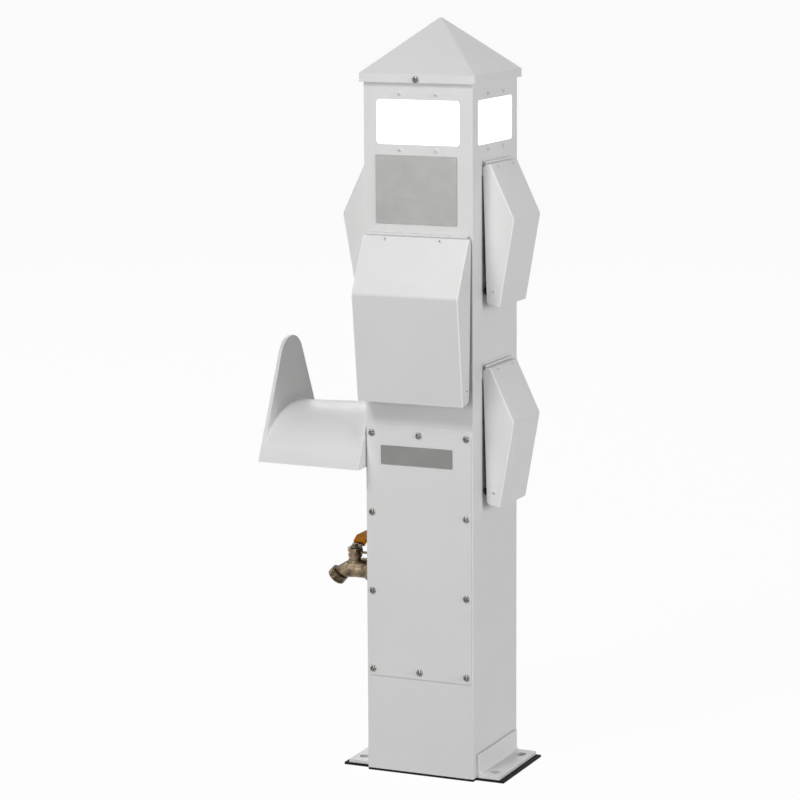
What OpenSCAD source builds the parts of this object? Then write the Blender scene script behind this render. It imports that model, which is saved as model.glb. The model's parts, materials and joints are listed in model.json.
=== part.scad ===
// Dock power pedestal: a square aluminium column on a rubber gasket, with a
// pyramid cap over four lit windows, hinged hoods over the breakers and the
// outlets, a screwed access panel, a hose hanger and a quarter-turn water tap.
// Millimetres. The origin is the centre of the column on the ground, +Z is up
// and the front faces -Y.

/* [Column] */
// Outside width of the square tube
col_w = 152.4; // [152:0.1:165]
// Length of the tube
col_h = 924; // [920:1:980]
// Wall thickness of the tube
col_wall = 3.2; // [2.5:0.1:3.6]
// Outside corner radius of the tube
col_corner = 1; // [0.8:0.1:6]

/* [Base] */
// Thickness of the rubber gasket
gasket_t = 3.2; // [2:0.1:6]
// How far the gasket shows beyond the outer edge of each base angle
gasket_side = 6.5; // [2:0.5:10]
// How far the gasket shows beyond the ends of each base angle
gasket_end = 1.5; // [0.5:0.5:6]
// Width of the square opening for cables and pipe in the gasket
base_open_w = 124; // [80:1:136]
// Height of the upright leg of a base angle
angle_leg_v = 32; // [25:1:60]
// Length of the flat leg of a base angle, from the column's face
angle_leg_h = 33; // [32:1:50]
// Thickness of a base angle
angle_t = 4.8; // [3:0.1:8]
// Length of a base angle
angle_len = 132; // [112:1:150]
// Diameter of the anchor bolt holes
anchor_d = 15.9; // [8:0.1:16]
// Distance between the two anchor holes of one angle
anchor_spacing = 89; // [70:1:92]
// Distance of the anchor holes from the column's face
anchor_out = 18.3; // [17:0.1:22]

/* [Cap] */
// How far the cap's skirt stands out from the tube
cap_overhang = 5.1; // [3.6:0.1:8]
// Outside corner radius of the cap's skirt
cap_corner = 3; // [1:0.1:8]
// Height of the cap's skirt
cap_skirt_h = 11; // [10:0.5:20]
// How far the skirt reaches down past the top of the tube
cap_lap = 8.6; // [8:0.1:9.5]
// Height of the pyramid above the skirt
cap_rise = 69.1; // [40:0.1:110]
// Wall thickness of the cap
cap_wall = 3; // [2:0.1:3.2]
// Radius of the rounded tip of the cap
cap_tip_r = 4; // [2:0.5:8]
// Sideways offset of the cap screws
cap_screw_x = -0.8; // [-6:0.1:6]

/* [Windows] */
// Width of a window
window_w = 116; // [90:0.1:120]
// Height of a window
window_h = 57.4; // [40:0.1:60]
// Corner radius of a window
window_r = 4.5; // [2:0.5:10]
// Distance from the top of the tube down to the middle of the windows
window_drop = 59.5; // [56:0.5:62]
// Thickness of a lens panel behind the wall
lens_t = 3; // [2:0.1:4]
// How far a lens panel reaches past the window at each side
lens_side = 5; // [2:0.5:6]
// How far a lens panel reaches past the window above and below
lens_edge = 12.3; // [10:0.1:14]
// Depth of the lens face behind the outside of the wall
lens_inset = 0.4; // [0.2:0.1:1.5]
// Distance between the screws of one row
lens_screw_dx = 50.8; // [30:0.1:80]
// Distance of each screw row from the window's edge
lens_screw_edge = 7; // [5:0.1:8]

/* [Lamp] */
// Distance from the top of the tube down to the top of the lamp shelf
shelf_drop = 112; // [108:1:120]
// Thickness of the shelf's sheet
shelf_t = 1.6; // [1:0.1:3]
// Height of the shelf's turned-down rim
shelf_rim = 12; // [6:1:20]
// Diameter of the lamp socket
socket_d = 54; // [44:1:70]
// Height of the lamp socket
socket_h = 26; // [22:1:34]
// Diameter of the lamp's globe
lamp_d = 60; // [40:1:66]
// Diameter of the lamp's screw base
lamp_base_d = 26; // [20:0.5:27]

/* [Plates] */
// Width of the data plate above the front hood
data_plate_w = 114.3; // [60:0.1:140]
// Height of the data plate
data_plate_h = 88.9; // [40:0.1:92]
// Thickness of the two silver plates
plate_t = 0.8; // [0.5:0.1:1.5]
// Distance from the front hood's hinge up to the middle of the data plate
data_plate_up = 58; // [55:0.1:61]
// Sideways offset of the data plate
data_plate_x = -2.3; // [-6:0.1:6]
// Width of the plate on the access panel
panel_plate_w = 101.6; // [60:0.1:124]
// Height of the plate on the access panel
panel_plate_h = 25.4; // [15:0.1:40]
// Distance from the top of the access panel to the middle of its plate
panel_plate_drop = 37; // [32:0.5:60]
// Sideways offset of the plate on the access panel
panel_plate_x = -3; // [-6:0.1:6]

/* [Access panel] */
// Width of the access panel
panel_w = 148; // [140:0.1:150]
// Height of the access panel
panel_h = 336.2; // [300:0.1:350]
// Thickness of the access panel
panel_t = 1.6; // [1:0.1:3]
// Corner radius of the access panel
panel_r = 4; // [1:0.5:8]
// Height of the middle of the access panel above the ground
panel_z = 300.3; // [290:0.1:310]
// Distance of the screws from the panel's sides
panel_screw_side = 6.8; // [6:0.1:7.5]
// Distance of the screws from the panel's top and bottom
panel_screw_end = 8.8; // [6:0.1:12]
// Screw rows on the panel
panel_rows = 4; // [3:1:5]
// Distance of the opening behind the panel from the panel's sides
access_side = 18; // [15:0.5:34]
// Distance of the opening behind the panel from the panel's top and bottom
access_end = 23; // [18:0.5:60]

/* [Screws] */
// Shank diameter of the panel, plate and cap screws
screw_d = 4.8; // [3:0.1:5]
// Head diameter of the panel, plate and cap screws
screw_head_d = 9; // [7:0.1:9.5]
// Head height of the panel, plate and cap screws
screw_head_h = 2.6; // [1.5:0.1:4]
// Shank diameter of the lens screws
lens_screw_d = 2.9; // [2:0.1:3.5]
// Head diameter of the lens screws
lens_screw_head_d = 5; // [4:0.1:6]

/* [Hoods] */
// Sheet thickness of the hoods
hood_t = 2; // [1.2:0.1:2.4]
// Height of the front hood's hinge above the ground
front_hood_z = 722.6; // [720:0.1:728]
// Width of the front hood
front_hood_w = 149; // [147:0.1:151]
// Length of the front hood's top ledge, from the knuckles to the fold
front_ledge = 2.2; // [1.9:0.1:6]
// How far the front hood's knee stands out from the column
front_knee_out = 46.7; // [40:0.1:70]
// Distance from the hinge down to the front hood's knee
front_knee_down = 74; // [55:0.1:95]
// How far the front hood's lower edge stands out from the column
front_end_out = 29.6; // [27:0.1:40]
// Distance from the hinge down to the front hood's lower edge
front_end_down = 216.6; // [200:0.1:230]
// Gap between column and side wall at the front hood's top
front_gap_top = 1.6; // [1.6:0.1:3]
// Gap between column and side wall at the front hood's lower edge
front_gap_end = 9; // [2:0.1:12]
// Height of the two upper side hoods' hinges above the ground
upper_hood_z = 815.3; // [806:0.1:822]
// Height of the lower side hood's hinge above the ground
lower_hood_z = 550.8; // [530:0.1:570]
// Width of a side hood
side_hood_w = 92; // [91.5:0.1:110]
// Length of a side hood's top ledge, from the knuckles to the fold
side_ledge = 6; // [1.9:0.1:8]
// How far a side hood's knee stands out from the column
side_knee_out = 45.2; // [38:0.1:60]
// Distance from the hinge down to a side hood's knee
side_knee_down = 71.3; // [50:0.1:90]
// How far a side hood's lower edge stands out from the column
side_end_out = 25; // [24:0.1:40]
// Distance from the hinge down to a side hood's lower edge
side_end_down = 185.6; // [176:0.1:200]
// Gap between column and side wall at a side hood's top
side_gap_top = 1.8; // [1.6:0.1:4]
// Gap between column and side wall at a side hood's lower edge
side_gap_end = 7.2; // [2:0.1:12]
// Distance from the hinge down to the hoods' top ledge
ledge_down = 1.3; // [1.2:0.1:3]
// Outside bend radius at the top fold
fold_r = 2.8; // [2.4:0.1:2.8]
// Outside bend radius at the knee
knee_r = 7; // [4:0.5:12]
// Radius of the lower inner corner of the side walls
heel_r = 5.5; // [3:0.5:12]
// How far that corner lies above the lower edge
heel_up = 3; // [0:0.5:6]

/* [Hinges] */
// Distance of the hinge pins from the column's face
pin_out = 3.6; // [3.5:0.1:3.9]
// Diameter of a hinge pin
pin_d = 2.2; // [1.6:0.1:2.6]
// Outside radius of the hinge knuckles
knuckle_r = 2.1; // [1.9:0.1:2.1]
// Length of one hinge knuckle
knuckle_len = 13; // [10:0.1:13.1]
// Knuckles on the front hinge
front_knuckles = 11; // [7:2:11]
// Knuckles on a side hinge
side_knuckles = 7; // [5:2:7]
// Thickness of the hinge leaves
leaf_t = 1; // [0.8:0.1:1.1]
// How far the fixed leaf reaches above the pin
leaf_up = 5; // [4:0.5:8]
// How far the fixed leaf reaches below the pin
leaf_down = 16; // [8:0.5:24]
// Length of the moving leaf along the hood's slope
leaf_reach = 12; // [9:0.5:20]
// Shank diameter of the rivets
rivet_d = 3.2; // [2:0.1:4]
// Head diameter of the rivets
rivet_head_d = 4.6; // [4.2:0.1:6]
// Diameter of the bore in the rivets
rivet_bore = 1.6; // [0.8:0.1:1.8]
// Distance of the hinge rivets from the top fold, along the slope
rivet_reach = 4.7; // [4.6:0.1:7]
// Distance between the front hood's hinge rivets
front_rivet_dx = 76.8; // [40:0.1:110]
// Sideways offset of the front hood's hinge rivets
front_rivet_x = -3.3; // [-8:0.1:8]
// Distance between a side hood's hinge rivets
side_rivet_dx = 50; // [30:0.1:70]
// Distance of a bumper's rivet above the hood's lower edge
bumper_up = 20; // [16:0.1:30]
// Distance of a bumper's rivet from the column's face
bumper_rivet_out = 17; // [12:0.1:18]
// Diameter of a rubber bumper
bumper_d = 14; // [10:0.5:16]
// Width of the flat where a rubber bumper lies on the hood's wall
bumper_flat = 8.6; // [6:0.1:9]
// How far a rubber bumper reaches out from the column
bumper_out = 21; // [20:0.5:22]

/* [Breakers] */
// Distance from the front hood's hinge down to the middle of the breaker plate
breaker_down = 110.6; // [104:0.1:116]
// Width of the breaker plate
breaker_plate_w = 124; // [118:1:130]
// Height of the breaker plate
breaker_plate_h = 140; // [130:1:142]
// Thickness of the breaker plate
breaker_plate_t = 1.6; // [1:0.1:2.5]
// Breakers side by side
breaker_count = 3; // [3:1:3]
// Distance between neighbouring breakers
breaker_pitch = 28; // [26.5:0.5:32]
// Width of a breaker
breaker_w = 26; // [22:0.5:26]
// Height of a breaker
breaker_h = 84; // [70:1:92]
// Depth of a breaker behind the plate
breaker_deep = 55; // [40:1:60]
// Width of the collar that stands through the plate
collar_w = 20; // [16:0.5:20]
// Height of the collar that stands through the plate
collar_h = 44; // [36:1:60]
// How far the collar stands out of the plate
collar_out = 4; // [2:0.5:6]
// Width of a toggle
toggle_w = 8; // [5:0.5:9]
// Thickness of a toggle
toggle_t = 5; // [3:0.5:6]
// Length of a toggle from its pivot
toggle_len = 23; // [18:0.5:24]
// Depth of the toggle's pivot behind the plate's back
toggle_pivot = 5; // [4:0.5:6]
// Swing of a toggle from on to off
toggle_swing = 40; // [20:1:40]

/* [Outlets] */
// Distance from a side hood's hinge down to the middle of its outlet
outlet_down = 95; // [90:1:100]
// Width of an outlet's square flange
outlet_flange_w = 72; // [66:1:74]
// Thickness of an outlet's flange
outlet_flange_t = 3.5; // [2:0.5:5]
// Distance between an outlet's screws
outlet_screw_dx = 54; // [50:0.5:56]
// Diameter of an outlet's raised face
outlet_face_d = 46; // [40:1:48]
// How far the raised face stands out of the flange
outlet_face_out = 8; // [4:0.5:10]
// Diameter of an outlet's body inside the column
outlet_body_d = 52; // [44:1:54]
// Depth of an outlet's body behind the column's face
outlet_deep = 45; // [30:1:48]
// Radius of the ring of contact slots
slot_ring_r = 13; // [9:0.5:15]
// Width of a contact slot
slot_w = 2.4; // [1.5:0.1:4]
// Depth of the contact slots
slot_deep = 12; // [6:0.5:20]

/* [Terminals] */
// Height of the middle of the terminal block above the ground
block_z = 330; // [300:1:360]
// Width of the terminal block
block_w = 104; // [80:1:112]
// Height of the terminal block
block_h = 60; // [40:1:80]
// Depth of the terminal block
block_deep = 34; // [24:1:40]
// Wires on the terminal block
block_ways = 4; // [3:1:4]
// Height of the middle of the ground bar above the ground
ground_bar_z = 210; // [180:1:240]
// Length of the ground bar
ground_bar_len = 80; // [50:1:100]
// Diameter of the wires
wire_d = 6; // [4:0.5:7]

/* [Water] */
// Height of the tap's body axis above the ground
tap_z = 255.2; // [240:0.1:270]
// Diameter of the water pipe
pipe_d = 21.3; // [15:0.1:22]
// Bore of the water pipe
pipe_bore = 15.8; // [10:0.1:16]
// Bend radius of the water pipe
pipe_bend_r = 22; // [18:0.5:30]
// Height of the pipe's lower end above the ground
pipe_foot_z = 6; // [4:1:30]
// Diameter of the tap's wall flange
tap_flange_d = 48; // [36:1:60]
// Diameter of the tap's barrel
tap_barrel_d = 24.4; // [24:0.1:28]
// Distance of the tap's stem from the column's face
tap_stem_out = 52.2; // [50:0.1:58]
// Bore of the tap
tap_bore = 13; // [9:0.1:13]
// Diameter of the tap's ball
tap_ball_d = 18.8; // [17:0.1:19]
// Diameter of the tap's stem
tap_stem_d = 8; // [5:0.1:8.5]
// Diameter of the hose thread, half way up its flanks
hose_thread_d = 25.6; // [24:0.1:30]
// Length of the hose thread
hose_thread_len = 11.8; // [9:0.1:14]
// Angle of the spout below level
spout_angle = 48; // [35:1:60]
// Width of the lever
lever_w = 13; // [9:0.5:15]
// Thickness of the lever
lever_t = 2.5; // [1.5:0.1:3]
// Length of the lever from the stem
lever_len = 88; // [70:1:100]
// Rise of the lever's handle above its hub
lever_rise = 8; // [6:0.5:16]
// Thickness of the grip around the lever
grip_t = 2; // [1.2:0.1:2.5]

/* [Hose hanger] */
// Height of the hanger's lower edge above the ground
hanger_z = 412.2; // [400:0.1:430]
// Width of the hanger across its lower edge
hanger_w = 193; // [180:1:210]
// Height of the saddle's crown at the tongue above the lower edge
saddle_rise = 68.6; // [60:0.1:90]
// How much the saddle's radius grows from the tongue to the wall
saddle_flare = 4.7; // [0:0.1:8]
// Distance from the column's face to the tongue's outer face
hanger_len = 148.8; // [120:0.1:180]
// Height of the tongue above the lower edge
tongue_h = 157; // [130:0.5:200]
// Radius of the tongue's rounded top
tongue_r = 35; // [20:0.5:45]
// Thickness of the tongue
tongue_t = 4.8; // [3:0.1:8]
// Thickness of the saddle's sheet
saddle_t = 3.2; // [2:0.1:5]
// Thickness of the wall flange
hanger_flange_t = 3.2; // [2:0.1:6]
// Height of the wall flange
hanger_flange_h = 108; // [104:1:120]
// Fillet between saddle and tongue
hanger_fillet = 4; // [2:0.5:10]
// Shank diameter of the hanger's bolts
bolt_d = 6.4; // [4:0.1:8]
// Across flats of the hanger's bolt heads
bolt_head = 11; // [8:0.1:13]
// Distance between the hanger's upper bolts
bolt_dx_top = 56; // [40:1:64]
// Distance between the hanger's lower bolts
bolt_dx_low = 100; // [60:1:110]
// Height of the lower bolts above the hanger's lower edge
bolt_low = 22; // [16:1:30]
// Distance of the upper bolts from the flange's top
bolt_top = 14; // [11:0.5:20]

/* [Hidden] */
$fn = 48;

// Faces of the column, as quarter turns from the front
FRONT = 0;
RIGHT = 1;
BACK = 2;
LEFT = 3;

// Clearances: a running fit, a loose fit for screws, and the gap at rest
// between parts that move against each other
fit = 0.05;
loose = 0.15;
rest_gap = 0.3;
// Overshoot of cuts past the surface that they open
cut = 1;

half = col_w/2;
col_in = col_w - 2*col_wall;
// The least radius of an inside corner
least_r = 0.4;
corner_in = max(col_corner - col_wall, least_r);
col_top = gasket_t + col_h;
angle_edge = half + angle_leg_h;
window_z = col_top - window_drop;
lens_screw_dz = window_h + 2*lens_screw_edge;
shelf_z = col_top - shelf_drop;
cap_edge_z = col_top + cap_skirt_h - cap_lap;
cap_tip_z = cap_edge_z + cap_rise;
// The cap screws sit in the middle of the lap
cap_screw_z = col_top - cap_lap/2;
panel_top = panel_z + panel_h/2;
access_w = panel_w - 2*access_side;
access_h = panel_h - 2*access_end;
data_plate_z = front_hood_z + data_plate_up;
breaker_z = front_hood_z - breaker_down;

white = [0.88, 0.88, 0.87];
steel = [0.72, 0.73, 0.74];
black = [0.09, 0.09, 0.1];
bronze = [0.55, 0.5, 0.43];

// Path helpers
function unit(v) = v/norm(v);
// Sharp corner b between a and c as an arc of radius r
function arc_corner(a, b, c, r, steps = 6) =
    let (u = unit(a - b), v = unit(c - b), half_angle = acos(u*v)/2,
         m = b + unit(u + v)*r/sin(half_angle),
         p = b + u*r/tan(half_angle), q = b + v*r/tan(half_angle),
         a0 = atan2(p[1] - m[1], p[0] - m[0]), a1 = atan2(q[1] - m[1], q[0] - m[0]),
         turn = a1 - a0 > 180 ? a1 - a0 - 360 : a1 - a0 < -180 ? a1 - a0 + 360 : a1 - a0)
    [for (i = [0:steps]) m + r*[cos(a0 + turn*i/steps), sin(a0 + turn*i/steps)]];
// Normal on the right-hand side of the way from a to b
function side_of(a, b) = let (d = unit(b - a)) [d[1], -d[0]];
// A path moved sideways by d, with mitred corners
function beside(p, d) =
    [for (i = [0:len(p) - 1])
        let (n0 = i > 0 ? side_of(p[i - 1], p[i]) : side_of(p[0], p[1]),
             n1 = i < len(p) - 1 ? side_of(p[i], p[i + 1]) : n0,
             m = unit(n0 + n1))
        p[i] + m*d/(m*n0)];
function backwards(p) = [for (i = [len(p) - 1:-1:0]) p[i]];

// 2D shapes
module rounded_rect(w, h, r) {
    square([w - 2*r, h], center = true);
    square([w, h - 2*r], center = true);
    for (x = [-1, 1], y = [-1, 1])
        translate([x*(w/2 - r), y*(h/2 - r)]) circle(r);
}
// The strip between two sideways distances of one path
module strip(path, from, to) polygon(concat(beside(path, from), backwards(beside(path, to))));

// Placing: on a face, local X runs along the face and -Y points out of it
module on_face(face, z = 0) rotate([0, 0, 90*face]) translate([0, -half, z]) children();
// Stands a 2D shape on a face, from depth "behind" to height "out"
module raised(out, behind = 0) rotate([90, 0, 0]) translate([0, 0, -behind])
    linear_extrude(out + behind) children();
module facing_out() rotate([90, 0, 0]) children();
module face_cut() raised(cut, col_wall + cut) children();
module face_drill(d) raised(cut, col_wall + cut) circle(d = d);
// Sweeps a side view, drawn as [distance out, height], along the face
module across(w) translate([w/2, 0, 0]) rotate([0, 0, -90]) rotate([90, 0, 0])
    linear_extrude(w) children();
module along_x(d, len) rotate([0, 90, 0]) cylinder(d = d, h = len, center = true);

// Fastener with a domed head above z = 0 and its shank below. The head's edge
// stands upright for a part of its height
head_edge = 0.35;
module dome_screw(d, head_d, head_h, len) {
    translate([0, 0, -len]) cylinder(d = d, h = len);
    rotate_extrude() polygon(concat([[0, 0], [head_d/2, 0]],
        [for (a = [0:15:75]) [head_d/2*cos(a), head_h*(head_edge + (1 - head_edge)*sin(a))]],
        [[0, head_h]]));
}
module machine_screw(len) dome_screw(screw_d, screw_head_d, screw_head_h, len);
// How far the screws reach past what they hold
screw_past = 2;

// Base
module anchor_holes(d, h) {
    for (x = [-1, 1], y = [-1, 1])
        translate([x*(half + anchor_out), y*anchor_spacing/2, 0]) cylinder(d = d, h = h);
}

module base_gasket() color(black) difference() {
    linear_extrude(gasket_t) difference() {
        union() {
            rounded_rect(col_w, col_w, col_corner);
            square([2*(angle_edge + gasket_side), angle_len + 2*gasket_end], center = true);
        }
        rounded_rect(base_open_w, base_open_w, window_r);
    }
    translate([0, 0, -cut]) anchor_holes(anchor_d, gasket_t + 2*cut);
}

module base_angle() {
    inner_r = angle_t*0.8;
    outline = concat([[0, 0], [angle_leg_h, 0], [angle_leg_h, angle_t]],
        arc_corner([angle_leg_h, angle_t], [angle_t, angle_t], [angle_t, angle_leg_v], inner_r),
        [[angle_t, angle_leg_v], [0, angle_leg_v]]);
    difference() {
        translate([half, angle_len/2, gasket_t]) rotate([90, 0, 0])
            linear_extrude(angle_len) polygon(outline);
        translate([0, 0, gasket_t - cut]) anchor_holes(anchor_d, angle_t + 2*cut);
    }
}

module base_angle_right() color(white) base_angle();
module base_angle_left() color(white) mirror([1, 0, 0]) base_angle();

// Column with all its openings
module column() color(white) difference() {
    translate([0, 0, gasket_t]) linear_extrude(col_h) difference() {
        rounded_rect(col_w, col_w, col_corner);
        rounded_rect(col_in, col_in, corner_in);
    }
    for (face = [FRONT:LEFT]) on_face(face, window_z) {
        face_cut() rounded_rect(window_w, window_h, window_r);
        lens_screw_places() face_drill(lens_screw_d + 2*loose);
    }
    on_face(FRONT, panel_z) {
        face_cut() rounded_rect(access_w, access_h, panel_r);
        panel_screw_places() face_drill(screw_d + 2*loose);
    }
    on_face(FRONT, breaker_z) {
        face_cut() square([breaker_opening_w, breaker_opening_h], center = true);
        breaker_screw_places() face_drill(screw_d + 2*loose);
    }
    for (h = SIDE_HOODS) on_face(h[0], h[1] - outlet_down) {
        face_drill(outlet_body_d + 4*loose);
        outlet_screw_places() face_drill(screw_d + 2*loose);
    }
    cap_screw_places() face_drill(screw_d + 2*loose);
    on_face(LEFT, tap_z) face_drill(tap_shank_d + 2*loose);
    on_face(LEFT, hanger_z) hanger_bolt_places() face_drill(bolt_d + 2*loose);
}

// Cap
cap_w = col_w + 2*cap_overhang;
module cap_slab(w, r, h) linear_extrude(h) rounded_rect(w, w, r);
module cap_screw_places() for (face = [FRONT, BACK])
    on_face(face, cap_screw_z) translate([cap_screw_x, 0, 0]) children();

module cap() {
    skirt_in = cap_w - 2*cap_wall;
    rim = 0.5;
    color(white) difference() {
        union() {
            translate([0, 0, cap_edge_z - cap_skirt_h])
                cap_slab(cap_w, cap_corner, cap_skirt_h - rim);
            hull() {
                translate([0, 0, cap_edge_z - rim]) linear_extrude(rim)
                    rounded_rect(cap_w, cap_w, cap_corner, $fn = 32);
                translate([0, 0, cap_tip_z - cap_tip_r]) sphere(cap_tip_r, $fn = 24);
            }
        }
        translate([0, 0, col_top - cap_lap - cut])
            cap_slab(skirt_in, max(cap_corner - cap_wall, least_r), cap_lap + cut);
        // Hollow of the roof, which leaves a flat seat on the tube's end
        hull() {
            translate([0, 0, col_top - cut]) linear_extrude(cut + cap_edge_z - col_top)
                rounded_rect(col_in, col_in, corner_in, $fn = 32);
            translate([0, 0, cap_tip_z - cap_tip_r - cap_wall]) sphere(cap_tip_r/2, $fn = 24);
        }
        cap_screw_places() translate([0, -cap_overhang, 0]) raised(cut, cap_overhang + cut)
            circle(d = screw_d + 2*loose);
    }
}

module cap_screws() color(steel) cap_screw_places() translate([0, -cap_overhang, 0])
    facing_out() machine_screw(cap_overhang + col_wall + screw_past);

// Windows
module lens_screw_places() for (x = [-1, 1], z = [-1, 1])
    translate([x*lens_screw_dx/2, 0, z*lens_screw_dz/2]) children();

module lens(face) color([1, 1, 0.97]) on_face(face, window_z) difference() {
    union() {
        translate([0, col_wall + lens_t, 0]) raised(lens_t)
            rounded_rect(window_w + 2*lens_side, window_h + 2*lens_edge, window_r);
        translate([0, col_wall, 0]) raised(col_wall - lens_inset)
            rounded_rect(window_w - 2*rest_gap, window_h - 2*rest_gap, window_r - rest_gap);
    }
    translate([0, col_wall, 0]) lens_screw_places()
        raised(cut, lens_t + cut) circle(d = lens_screw_d + 2*loose);
}

module lens_screws() color(steel) for (face = [FRONT:LEFT]) on_face(face, window_z)
    lens_screw_places() facing_out()
        dome_screw(lens_screw_d, lens_screw_head_d, 0.4*lens_screw_head_d,
            col_wall + lens_t + screw_past/2);

// Lamp on its shelf
module lamp_shelf() color(steel) difference() {
    translate([0, 0, shelf_z - shelf_rim]) cap_slab(col_in - 2*rest_gap, corner_in, shelf_rim);
    translate([0, 0, shelf_z - shelf_rim - cut])
        cap_slab(col_in - 2*rest_gap - 2*shelf_t, corner_in, shelf_rim + cut - shelf_t);
    translate([lead_x, 0, shelf_z - shelf_t - cut]) cylinder(d = lead_hole_d, h = shelf_t + 2*cut);
}
// Hole for the lamp's leads, beside the socket
lead_x = socket_d/2 + 12;
lead_hole_d = 14;

// Floor of the socket's bore, and the height of the lamp's neck above the socket
lamp_seat = 4;
lamp_neck_h = 4;
socket_wall_t = 5;
module lamp_socket() color([0.93, 0.92, 0.88]) translate([0, 0, shelf_z]) difference() {
    union() {
        cylinder(d = socket_d, h = socket_h*0.45);
        cylinder(d = lamp_base_d + 2*socket_wall_t, h = socket_h);
    }
    translate([0, 0, lamp_seat]) cylinder(d = lamp_base_d + 2*loose, h = socket_h);
}

module lamp() {
    globe_r = lamp_d/2;
    base_r = lamp_base_d/2;
    neck_r = base_r + 2;
    neck_z = socket_h + lamp_neck_h;
    join = asin(neck_r/globe_r);
    globe_z = neck_z + globe_r*cos(join) + 1;
    color([1, 1, 0.95]) translate([0, 0, shelf_z]) rotate_extrude() polygon(concat(
        [[0, lamp_seat], [base_r, lamp_seat], [base_r, socket_h + rest_gap],
         [neck_r, neck_z]],
        [for (a = [-90 + join:10:80]) [globe_r*cos(a), globe_z + globe_r*sin(a)]],
        [[0, globe_z + globe_r]]));
}

// Plates
module data_plate() color(steel) on_face(FRONT, data_plate_z) translate([data_plate_x, 0, 0])
    raised(plate_t) rounded_rect(data_plate_w, data_plate_h, 2);

module panel_screw_places() {
    dx = panel_w - 2*panel_screw_side;
    dz = panel_h - 2*panel_screw_end;
    for (row = [0:panel_rows - 1], x = [-1:1])
        if (x != 0 || row == 0 || row == panel_rows - 1)
            translate([x*dx/2, 0, dz*(row/(panel_rows - 1) - 0.5)]) children();
}

module access_panel() color(white) on_face(FRONT, panel_z) difference() {
    raised(panel_t) rounded_rect(panel_w, panel_h, panel_r);
    panel_screw_places() raised(panel_t + cut, cut) circle(d = screw_d + 2*loose);
}

module panel_plate() color(steel) on_face(FRONT, panel_top - panel_plate_drop)
    translate([panel_plate_x, -panel_t, 0]) raised(plate_t)
        rounded_rect(panel_plate_w, panel_plate_h, 1.5);

module panel_screws() color(steel) on_face(FRONT, panel_z) panel_screw_places()
    translate([0, -panel_t, 0]) facing_out() machine_screw(panel_t + col_wall + screw_past);

// Hoods. A hood is [face, hinge height, width, knuckles, ledge, knee out, knee
// down, end out, end down, gap top, gap end, rivet spacing, rivet offset]
function side_hood(face, z) = [face, z, side_hood_w, side_knuckles, side_ledge,
    side_knee_out, side_knee_down, side_end_out, side_end_down, side_gap_top, side_gap_end,
    side_rivet_dx, 0];
FRONT_HOOD = [FRONT, front_hood_z, front_hood_w, front_knuckles, front_ledge,
    front_knee_out, front_knee_down, front_end_out, front_end_down, front_gap_top,
    front_gap_end, front_rivet_dx, front_rivet_x];
RIGHT_UPPER = side_hood(RIGHT, upper_hood_z);
RIGHT_LOWER = side_hood(RIGHT, lower_hood_z);
LEFT_UPPER = side_hood(LEFT, upper_hood_z);
SIDE_HOODS = [RIGHT_UPPER, RIGHT_LOWER, LEFT_UPPER];

// The moving leaf's tab hangs from the knuckles, and the hood starts outside them
tab_out = pin_out - leaf_t/2;
hood_start = pin_out + knuckle_r + rest_gap;
function fold(h) = [hood_start + h[4], -ledge_down];
function knee(h) = [h[5], -h[6]];
function hood_end(h) = [h[7], -h[8]];
function hood_path(h) = concat([[hood_start, -ledge_down]],
    arc_corner([hood_start, -ledge_down], fold(h), knee(h), fold_r),
    arc_corner(fold(h), knee(h), hood_end(h), knee_r), [hood_end(h)]);
function heel(h) = [h[10], heel_up - h[8]];
function back_top(h) = [h[9], -ledge_down - 2*hood_t];
// Direction of a hood's slope, from the fold to the knee
function slope(h) = unit(knee(h) - fold(h));
function hood_side(h) = concat(hood_path(h),
    arc_corner(hood_end(h), heel(h), back_top(h), heel_r), [back_top(h)]);

module at_hinge(h) on_face(h[0], h[1]) children();
// Places children on the two hinge rivets, with +Z out of the hood's slope
module hinge_rivet_places(h) {
    spot = fold(h) + slope(h)*rivet_reach;
    tilt = atan2(-slope(h)[1], slope(h)[0]);
    for (x = [-1, 1]) translate([h[12] + x*h[11]/2, -spot[0], spot[1]])
        rotate([tilt, 0, 0]) children();
}
// Places children on the bumper rivets, with +Z out of the side walls
module bumper_rivet_places(h) for (x = [-1, 1])
    translate([x*h[2]/2, -bumper_rivet_out, bumper_up - h[8]]) rotate([0, x*90, 0]) children();

module hood(h) color(white) at_hinge(h) difference() {
    union() {
        across(h[2]) strip(hood_path(h), 0, hood_t);
        for (x = [-1, 1]) translate([x*(h[2] - hood_t)/2, 0, 0]) across(hood_t)
            polygon(hood_side(h));
    }
    hinge_rivet_places(h) translate([0, 0, -hood_t - cut])
        cylinder(d = rivet_d + 2*fit, h = hood_t + 2*cut);
    bumper_rivet_places(h) translate([0, 0, -hood_t - cut])
        cylinder(d = rivet_d + 2*fit, h = hood_t + 2*cut);
}

// Knuckles from one end of the hinge, every second one, starting at "first"
module knuckles(h, first) for (i = [first:2:h[3] - 1])
    translate([(i - (h[3] - 1)/2)*knuckle_len, -pin_out, 0])
        along_x(2*knuckle_r, knuckle_len - rest_gap);
module knuckle_webs(h, first, z0, z1, out0, out1) for (i = [first:2:h[3] - 1])
    translate([(i - (h[3] - 1)/2)*knuckle_len - (knuckle_len - rest_gap)/2, -out1, z0])
        cube([knuckle_len - rest_gap, out1 - out0, z1 - z0]);
module pin_bore(h) translate([0, -pin_out, 0]) along_x(pin_d + 2*fit, h[3]*knuckle_len + 2*cut);

module fixed_leaf(h) color(white) at_hinge(h) difference() {
    union() {
        translate([-h[3]*knuckle_len/2, -leaf_t, -leaf_down])
            cube([h[3]*knuckle_len, leaf_t, leaf_up + leaf_down]);
        knuckles(h, 0);
        knuckle_webs(h, 0, -leaf_t/2, leaf_t/2, leaf_t/2, pin_out);
    }
    pin_bore(h);
}

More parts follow.
